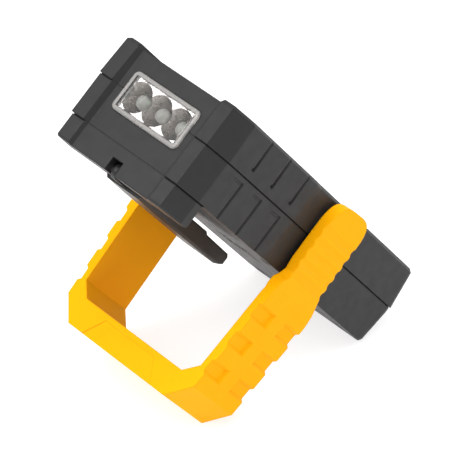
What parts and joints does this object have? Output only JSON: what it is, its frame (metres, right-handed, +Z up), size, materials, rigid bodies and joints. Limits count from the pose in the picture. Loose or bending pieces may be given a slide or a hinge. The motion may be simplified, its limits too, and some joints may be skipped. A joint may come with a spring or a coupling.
{
  "type": "work light",
  "caption": "Compact LED work light: slab body with flood and end spot lamps, fold-out hanging hook and a swinging bail that serves as stand and handle.",
  "frame": {"origin": "centre of the bounding box, on the ground the lamp stands on", "axes": "+Z up, +X across the width, the lamp leans back towards +Y onto its bail, and its flood lamp faces -Y and up"},
  "size_m": [0.0668, 0.1146, 0.1229],
  "materials": {
    "shell_plastic": "fine matt grain",
    "cover_plastic": "fine matt grain",
    "hook_plastic": "satin",
    "bail_plastic": "satin moulded",
    "clear_plastic": "clear polished",
    "reflector_coat": "vacuum metallised",
    "led_epoxy": "clear with phosphor tint",
    "board_laminate": "solder resist",
    "button_rubber": "matt",
    "switch_plastic": "matt",
    "tray_plastic": "matt",
    "cell_can": "printed film over a metal can",
    "plated_steel": "nickel plated",
    "washer_plastic": "natural acetal"
  },
  "bodies": {
    "lamp": {"front_shell": "shell_plastic", "rear_shell": "shell_plastic", "head_cover": "cover_plastic", "hook_pin": "plated_steel", "flood_lens": "clear_plastic", "flood_reflector": "reflector_coat", "flood_leds": "led_epoxy", "flood_board": "board_laminate", "spot_lens": "clear_plastic", "spot_reflector": "reflector_coat", "spot_leds": "led_epoxy", "spot_board": "board_laminate", "switch_body": "switch_plastic", "driver_board": "board_laminate", "battery_tray": "tray_plastic", "battery_cells": "cell_can", "battery_springs": "plated_steel", "battery_contacts": "plated_steel", "bail_washer_left": "washer_plastic", "bail_washer_right": "washer_plastic", "shell_screws": "plated_steel", "cover_screws": "plated_steel"},
    "bail": {"bail": "bail_plastic", "bail_disc_left": "plated_steel", "bail_disc_right": "plated_steel", "bail_screws": "plated_steel"},
    "hook": {"hanging_hook": "hook_plastic"},
    "door": {"battery_door": "shell_plastic"},
    "button": {"switch_button": "button_rubber", "switch_plunger": "switch_plastic"}
  },
  "joints": [
    {"name": "bail_hinge", "type": "hinge", "parent": "lamp", "child": "bail", "pos_m": [0, -0.01328, 0.05741], "axis": [1, 0, 0], "range_deg": [-235, 48]},
    {"name": "hook_hinge", "type": "hinge", "parent": "lamp", "child": "hook", "pos_m": [0, 0.0527, 0.09559], "axis": [1, 0, 0], "range_deg": [0, 180]},
    {"name": "door_hinge", "type": "hinge", "parent": "lamp", "child": "door", "pos_m": [0, -0.0271, 0.01039], "axis": [-1, 0, 0], "range_deg": [0, 40]},
    {"name": "button_slide", "type": "slide", "parent": "lamp", "child": "button", "axis": [0, 0.7723, -0.6353], "range_m": [0, 0.0005], "stiffness_N_per_m": 1500}
  ]
}
